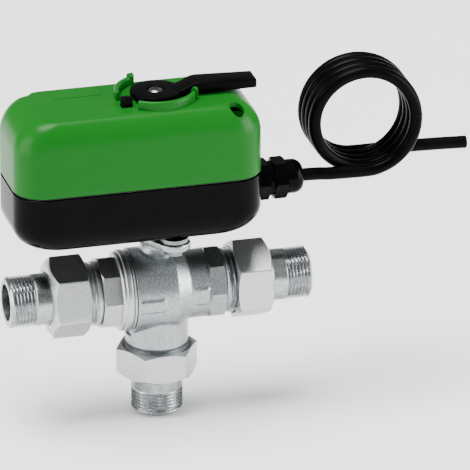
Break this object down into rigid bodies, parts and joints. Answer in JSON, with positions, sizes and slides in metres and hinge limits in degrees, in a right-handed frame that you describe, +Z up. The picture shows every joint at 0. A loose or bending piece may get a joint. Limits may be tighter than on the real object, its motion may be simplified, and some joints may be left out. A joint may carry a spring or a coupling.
{
  "type": "motorised zone valve",
  "caption": "Motorised ball zone valve: union tails on a metal tee body, two-part actuator case above with a manual lever, gears and motor inside, and a coiled supply cable.",
  "frame": {"origin": "where the axes of the three ports cross, at the centre of the ball", "axes": "+X along the pipe run towards the port under the cable gland, +Z up the stem through the actuator, -Y is the actuator's front"},
  "size_m": [0.2496, 0.0577, 0.178],
  "materials": {
    "plated_brass": "nickel plated, machined and blasted",
    "polished_brass": "machined bright",
    "white_ptfe": "smooth white",
    "black_rubber": "matt",
    "fibre_gasket": "pressed fibre",
    "zinc_steel": "bright zinc plated",
    "green_plastic": "satin moulded green",
    "black_plastic": "moulded black",
    "gear_nylon": "natural nylon",
    "board_green": "lacquered circuit board",
    "terminal_grey": "moulded grey",
    "cable_black": "smooth black PVC sheath"
  },
  "bodies": {
    "valve": {"valve_body": "plated_brass", "body_end_cap": "plated_brass", "seat_left": "white_ptfe", "seat_right": "white_ptfe", "seat_bottom": "white_ptfe", "stem_washer": "white_ptfe", "end_cap_oring": "black_rubber", "tailpiece_left": "plated_brass", "tailpiece_right": "plated_brass", "tailpiece_bottom": "plated_brass", "union_gasket_left": "fibre_gasket", "union_gasket_right": "fibre_gasket", "union_gasket_bottom": "fibre_gasket", "flange_screw_front": "zinc_steel", "flange_screw_back": "zinc_steel", "flange_spacer_front": "zinc_steel", "flange_spacer_back": "zinc_steel", "base_housing": "black_plastic", "cover": "green_plastic", "cover_gasket": "black_rubber", "cover_screw_1": "zinc_steel", "cover_screw_2": "zinc_steel", "idler_axle": "zinc_steel", "gear_plate": "zinc_steel", "plate_screw_1": "zinc_steel", "plate_screw_2": "zinc_steel", "plate_screw_3": "zinc_steel", "motor": "zinc_steel", "microswitch_lower": "black_plastic", "microswitch_upper": "black_plastic", "circuit_board": "board_green", "terminal_block": "terminal_grey", "gland_body": "black_plastic", "gland_seal": "black_rubber", "gland_locknut": "black_plastic", "release_spring": "zinc_steel", "cable_lead": "cable_black", "cable_coil": "cable_black", "cable_tail": "cable_black"},
    "drive": {"ball": "polished_brass", "stem": "polished_brass", "stem_oring_lower": "black_rubber", "stem_oring_upper": "black_rubber", "output_shaft": "zinc_steel", "output_gear": "gear_nylon", "cam": "gear_nylon", "lever": "black_plastic", "lever_screw": "zinc_steel", "lever_oring": "black_rubber"},
    "idler": {"idler_gear": "gear_nylon"},
    "pinion": {"motor_pinion": "gear_nylon"},
    "release": {"release_button": "black_plastic"},
    "lower_plunger": {"switch_plunger_lower": "white_ptfe"},
    "upper_plunger": {"switch_plunger_upper": "white_ptfe"},
    "left_nut": {"union_nut_left": "plated_brass"},
    "right_nut": {"union_nut_right": "plated_brass"},
    "bottom_nut": {"union_nut_bottom": "plated_brass"},
    "cable_nut": {"gland_nut": "black_plastic"}
  },
  "joints": [
    {"name": "stem_turn", "type": "hinge", "parent": "valve", "child": "drive", "pos_m": [0, 0, 0], "axis": [0, 0, 1], "range_deg": [0, 90]},
    {"name": "idler_turn", "type": "hinge", "parent": "valve", "child": "idler", "pos_m": [-0.024, 0, 0], "axis": [0, 0, 1], "continuous": true},
    {"name": "pinion_turn", "type": "hinge", "parent": "valve", "child": "pinion", "pos_m": [-0.0432, 0, 0], "axis": [0, 0, 1], "continuous": true},
    {"name": "release_press", "type": "slide", "parent": "valve", "child": "release", "axis": [0, 0, -1], "range_m": [0, 0.0025], "stiffness_N_per_m": 400, "springref_m": -0.001, "deforming": ["release_spring"]},
    {"name": "lower_switch_press", "type": "slide", "parent": "valve", "child": "lower_plunger", "axis": [1, 0, 0], "range_m": [0, 0.001], "stiffness_N_per_m": 300, "springref_m": -0.001},
    {"name": "upper_switch_press", "type": "slide", "parent": "valve", "child": "upper_plunger", "axis": [1, 0, 0], "range_m": [0, 0.001], "stiffness_N_per_m": 300, "springref_m": -0.001},
    {"name": "left_nut_turn", "type": "hinge", "parent": "valve", "child": "left_nut", "pos_m": [-0.048, 0, 0], "axis": [-1, 0, 0], "continuous": true},
    {"name": "right_nut_turn", "type": "hinge", "parent": "valve", "child": "right_nut", "pos_m": [0.048, 0, 0], "axis": [1, 0, 0], "continuous": true},
    {"name": "bottom_nut_turn", "type": "hinge", "parent": "valve", "child": "bottom_nut", "pos_m": [0, 0, -0.039], "axis": [0, 0, -1], "continuous": true},
    {"name": "gland_nut_turn", "type": "hinge", "parent": "valve", "child": "cable_nut", "pos_m": [0.066, 0, 0.0534], "axis": [1, 0, 0], "continuous": true}
  ],
  "couplings": [
    {"joint": "idler_turn", "follows": "stem_turn", "ratio": -4},
    {"joint": "pinion_turn", "follows": "stem_turn", "ratio": 12}
  ]
}
